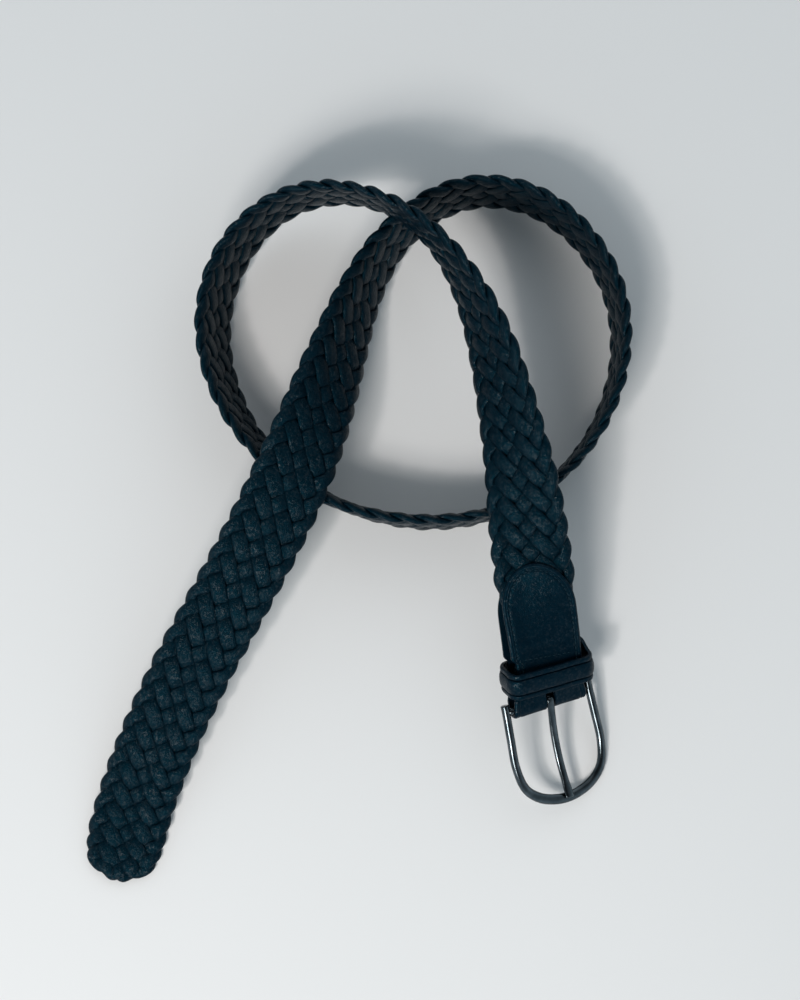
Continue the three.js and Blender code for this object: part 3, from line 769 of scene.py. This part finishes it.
def buckle_frame(axes, material):
    """The U-shaped wire, flattened at its front, and the bar between its ends."""
    half = [(reach * FRAME_REACH, across * FRAME_WIDTH / 2, flat) for across, reach, flat in FRAME_OUTLINE]
    other = [(reach, -across, flat) for reach, across, flat in half[-2::-1]]
    stub = (-WIRE_STUB, half[0][1], 0)
    other_stub = (-WIRE_STUB, -half[0][1], 0)
    outline = np.array([stub, *half, *other, other_stub])
    spans = np.linspace(0, len(outline) - 1, WIRE_STEPS + 1)
    flat = np.interp(spans, np.arange(len(outline)), outline[:, 2])
    centres = catmull_rom(outline * [1, 1, 0], WIRE_STEPS)
    tangents = unit(np.gradient(centres, axis=0))
    up = np.array([[0.0, 0.0, 1.0]])
    outward = np.cross(up, tangents)
    flat = smoothstep(flat, -0.1, 1.1)
    breadth = lerp(WIRE_DIAMETER, FRONT_BREADTH, flat)
    thickness = lerp(WIRE_DIAMETER, FRONT_THICKNESS, flat)
    ups = np.repeat(up, len(centres), axis=0)
    ends, centres, scale = rounded_ends(centres, tangents, WIRE_END_SCALES, WIRE_END_PLACES)
    rings = sweep(centres, outward[ends], ups[ends], breadth[ends] * scale, thickness[ends] * scale,
                  WIRE_SIDES)
    points = buckle_points(rings.reshape(-1, 3), axes)
    faces = ring_faces(len(rings), WIRE_SIDES)
    wire = mesh_object("frame_wire", points, faces, "frame", material)
    wire.data.set_sharp_from_angle(angle=math.radians(55))
    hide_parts("buckle_frame")
    reach = half[0][1]
    bar_centres = np.zeros((BAR_STEPS, 3))
    bar_centres[:, 1] = np.linspace(-reach, reach, BAR_STEPS)
    forward = np.repeat([[1.0, 0.0, 0.0]], BAR_STEPS, axis=0)
    ups = np.repeat(up, BAR_STEPS, axis=0)
    rings = sweep(bar_centres, forward, ups, BAR_DIAMETER, BAR_DIAMETER, WIRE_SIDES)
    points = buckle_points(rings.reshape(-1, 3), axes)
    faces = ring_faces(BAR_STEPS, WIRE_SIDES)
    bar = mesh_object("frame_bar", points, faces, "frame", material)
    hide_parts("buckle_frame")


def prong(axes, material):
    """The curled eye round the bar and the bowed shank that lies on the frame's front."""
    resting = (FRONT_THICKNESS + PRONG_TIP_THICKNESS) / 2 + CLEARANCE
    shank = FRAME_REACH - FRONT_BREADTH / 8
    dip = math.atan(math.pi * PRONG_SAG / shank)
    angles = np.linspace(-PRONG_CURL, math.pi / 2 + dip, PRONG_EYE_STEPS + 1)
    eye = np.column_stack([-np.cos(angles), np.zeros(len(angles)), np.sin(angles)]) * EYE_RADIUS
    shares = np.arange(1, PRONG_STEPS + 1) / PRONG_STEPS
    heights = lerp(eye[-1, 2], resting, shares) - PRONG_SAG * np.sin(math.pi * shares)
    line = np.column_stack([lerp(eye[-1, 0], shank, shares), np.zeros(PRONG_STEPS), heights])
    centres = np.vstack([eye, line])
    tangents = unit(np.gradient(centres, axis=0))
    sideways = np.repeat([[0.0, 1.0, 0.0]], len(centres), axis=0)
    upright = np.cross(tangents, sideways)
    filled = smoothstep(centres[:, 0], 0, FRAME_REACH * 0.3)
    flattened = smoothstep(centres[:, 0], FRAME_REACH * 0.8, FRAME_REACH * 0.93)
    breadth = lerp(PRONG_BREADTH, PRONG_TIP_BREADTH, flattened)
    thickness = lerp(lerp(PRONG_EYE_THICKNESS, PRONG_THICKNESS, filled), PRONG_TIP_THICKNESS, flattened)
    ends, centres, scale = rounded_ends(centres, tangents, PRONG_END_SCALES, PRONG_END_PLACES)
    rings = sweep(centres, sideways[ends], upright[ends], breadth[ends] * scale, thickness[ends] * scale,
                  PRONG_SIDES, PRONG_SQUARENESS)
    points = buckle_points(rings.reshape(-1, 3), axes)
    faces = ring_faces(len(rings), PRONG_SIDES)
    piece = mesh_object("prong_metal", points, faces, "prong", material)
    piece.data.set_sharp_from_angle(angle=math.radians(50))
    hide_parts("prong")


# Materials


class Nodes:
    """Short hand for one material's node tree."""

    def __init__(self, name):
        self.material = bpy.data.materials.new(name)
        self.material.use_nodes = True
        self.tree = self.material.node_tree
        self.shader = self.tree.nodes["Principled BSDF"]
        self.place = self.add("ShaderNodeTexCoord").outputs["Object"]

    def add(self, kind, inputs=None, **settings):
        node = self.tree.nodes.new(kind)
        for key, value in settings.items():
            setattr(node, key, value)
        for key, value in (inputs or {}).items():
            if isinstance(value, bpy.types.NodeSocket):
                self.tree.links.new(value, node.inputs[key])
            else:
                node.inputs[key].default_value = value
        return node

    def noise(self, scale, detail=3, roughness=0.5):
        inputs = {"Vector": self.place, "Scale": scale, "Detail": detail, "Roughness": roughness}
        return self.add("ShaderNodeTexNoise", inputs).outputs["Fac"]

    def ramp(self, factor, stops):
        node = self.add("ShaderNodeValToRGB", {"Fac": factor})
        elements = node.color_ramp.elements
        while len(elements) < len(stops):
            elements.new(0.5)
        for element, (position, color) in zip(elements, stops):
            element.position = position
            element.color = (*color, 1)
        return node.outputs["Color"]

    def spread(self, factor, low, high, from_low=0.3, from_high=0.7):
        inputs = {"Value": factor, "From Min": from_low, "From Max": from_high, "To Min": low, "To Max": high}
        return self.add("ShaderNodeMapRange", inputs).outputs["Result"]

    def bump(self, height, strength, distance, normal=None):
        inputs = {"Height": height, "Strength": strength, "Distance": distance}
        if normal is not None:
            inputs["Normal"] = normal
        return self.add("ShaderNodeBump", inputs).outputs["Normal"]

    def connect(self, **inputs):
        for key, value in inputs.items():
            socket = self.shader.inputs[key.replace("_", " ")]
            if isinstance(value, bpy.types.NodeSocket):
                self.tree.links.new(value, socket)
            else:
                socket.default_value = value


def leather(name, dark, light, roughness, grain_depth, gloss):
    """Dyed leather: a pebbled grain, fine pores, uneven dye and a waxed gloss worn off in places."""
    nodes = Nodes(name)
    patches = nodes.noise(260, 4, 0.6)
    pores = nodes.noise(3000, 4, 0.65)
    cells = nodes.add("ShaderNodeTexVoronoi", {"Vector": nodes.place, "Scale": 1700}).outputs["Distance"]
    scuffs = nodes.noise(1100, 6, 0.8)
    worn = nodes.noise(800, 6, 0.8)
    color = nodes.ramp(patches, [(0.32, dark), (0.68, light)])
    normal = nodes.bump(patches, 0.35, 0.0007)
    normal = nodes.bump(cells, 0.55, grain_depth, normal)
    normal = nodes.bump(pores, 0.5, grain_depth, normal)
    nodes.connect(
        Base_Color=color,
        Roughness=nodes.spread(scuffs, roughness - 0.1, roughness + 0.15),
        Normal=normal,
        Specular_IOR_Level=0.12,
        Specular_Tint=(0.1, 0.68, 1, 1),
        Coat_Weight=nodes.spread(worn, 0, gloss, 0.5, 0.66),
        Coat_Roughness=nodes.spread(scuffs, 0.14, 0.3),
        Coat_Normal=normal,
    )
    return nodes.material


def dark_nickel():
    """Polished dark plated metal with faint scratches and a little tarnish."""
    nodes = Nodes("dark_nickel")
    tarnish = nodes.noise(180, 4, 0.6)
    scratches = nodes.noise(2600, 5, 0.7)
    color = nodes.ramp(tarnish, [(0.35, (0.045, 0.056, 0.062)), (0.7, (0.1, 0.115, 0.125))])
    rough = nodes.spread(scratches, 0.07, 0.2)
    normal = nodes.bump(scratches, 0.08, 0.00005)
    nodes.connect(Base_Color=color, Roughness=rough, Normal=normal, Metallic=1)
    return nodes.material


def thread():
    """Waxed thread with a fine twist."""
    nodes = Nodes("thread")
    fibres = nodes.noise(4200, 2, 0.5)
    color = nodes.ramp(fibres, [(0.35, (0.001, 0.006, 0.011)), (0.7, (0.003, 0.012, 0.02))])
    nodes.connect(Base_Color=color, Roughness=0.5, Normal=nodes.bump(fibres, 0.4, 0.0001))
    nodes.connect(Specular_IOR_Level=0.3, Specular_Tint=(0.4, 0.82, 1, 1))
    return nodes.material


BRAIDED_LEATHER = leather(
    "braided_leather",
    dark=(0.0002, 0.0036, 0.0074),
    light=(0.0007, 0.0072, 0.0126),
    roughness=0.36,
    grain_depth=0.0003,
    gloss=0.7,
)
PLAIN_LEATHER = leather(
    "plain_leather",
    dark=(0.0002, 0.0032, 0.0074),
    light=(0.0007, 0.0055, 0.0110),
    roughness=0.4,
    grain_depth=0.00013,
    gloss=0.5,
)
DARK_NICKEL = dark_nickel()
THREAD = thread()


# Camera, floor and light


def camera():
    """The photograph's view: steeply down from the near side."""
    target = Vector((18.07, 13.38, 10)) * MM
    elevation = math.radians(83)
    field_of_view = math.radians(25.28)
    distance = 1.0
    data = bpy.data.cameras.new("camera")
    data.sensor_width = 36
    data.lens = data.sensor_width / 2 / math.tan(field_of_view / 2)
    data.clip_start = 0.05
    data.clip_end = 20
    view = bpy.data.objects.new("camera", data)
    back = Vector((0, -math.cos(elevation), math.sin(elevation)))
    view.location = target + back * distance
    view.rotation_euler = (-back).to_track_quat("-Z", "Y").to_euler()
    bpy.context.scene.collection.objects.link(view)
    bpy.context.scene.camera = view


def floor():
    """A plain pale floor at height zero."""
    nodes = Nodes("pale_floor")
    nodes.connect(Base_Color=(0.735, 0.73, 0.725, 1), Roughness=0.75)
    mesh = bpy.data.meshes.new("floor")
    half = 4.0
    corners = [(-half, -half, 0), (half, -half, 0), (half, half, 0), (-half, half, 0)]
    mesh.from_pydata(corners, [], [(0, 1, 2, 3)])
    mesh.materials.append(nodes.material)
    plane = bpy.data.objects.new("floor", mesh)
    bpy.context.scene.collection.objects.link(plane)


def area_light(name, azimuth, elevation, distance, size, power, color):
    """A square soft box aimed at the belt; azimuth 0 stands on the near side and 90 on the right."""
    data = bpy.data.lights.new(name, "AREA")
    data.size = size
    data.energy = power
    data.color = color
    light = bpy.data.objects.new(name, data)
    a, e = math.radians(azimuth), math.radians(elevation)
    away = Vector((math.sin(a) * math.cos(e), -math.cos(a) * math.cos(e), math.sin(e)))
    light.location = away * distance
    light.rotation_euler = away.to_track_quat("Z", "Y").to_euler()
    bpy.context.scene.collection.objects.link(light)


def lighting():
    """A soft key and a small glint from the near left, a large far fill and a room darker overhead."""
    area_light("key", azimuth=-26, elevation=51, distance=1.6, size=0.52, power=14, color=(1, 0.975, 0.94))
    area_light("glint", azimuth=-38, elevation=50, distance=1.6, size=0.14, power=5, color=(1, 0.95, 0.93))
    area_light("fill", azimuth=150, elevation=48, distance=2.0, size=1.8, power=5, color=(0.96, 0.98, 1))
    world = bpy.data.worlds.new("studio")
    world.use_nodes = True
    tree = world.node_tree
    place = tree.nodes.new("ShaderNodeTexCoord")
    split = tree.nodes.new("ShaderNodeSeparateXYZ")
    fade = tree.nodes.new("ShaderNodeValToRGB")
    tree.links.new(place.outputs["Generated"], split.inputs["Vector"])
    tree.links.new(split.outputs["Z"], fade.inputs["Fac"])
    tree.links.new(fade.outputs["Color"], tree.nodes["Background"].inputs["Color"])
    stops = [(0.25, (0.76, 0.91, 1, 1)), (0.92, (0.07, 0.08, 0.09, 1))]
    for element, (position, color) in zip(fade.color_ramp.elements, stops):
        element.position = position
        element.color = color
    tree.nodes["Background"].inputs["Strength"].default_value = 1.0
    bpy.context.scene.world = world
    bpy.context.scene.view_settings.view_transform = "Standard"


camera()
floor()
lighting()
for index in range(STRANDS):
    strand(index, BRAIDED_LEATHER)
buckle_tab(PLAIN_LEATHER)
tab_stitches(THREAD)
keeper(PLAIN_LEATHER)
buckle_frame(buckle_axes(), DARK_NICKEL)
prong(buckle_axes(), DARK_NICKEL)
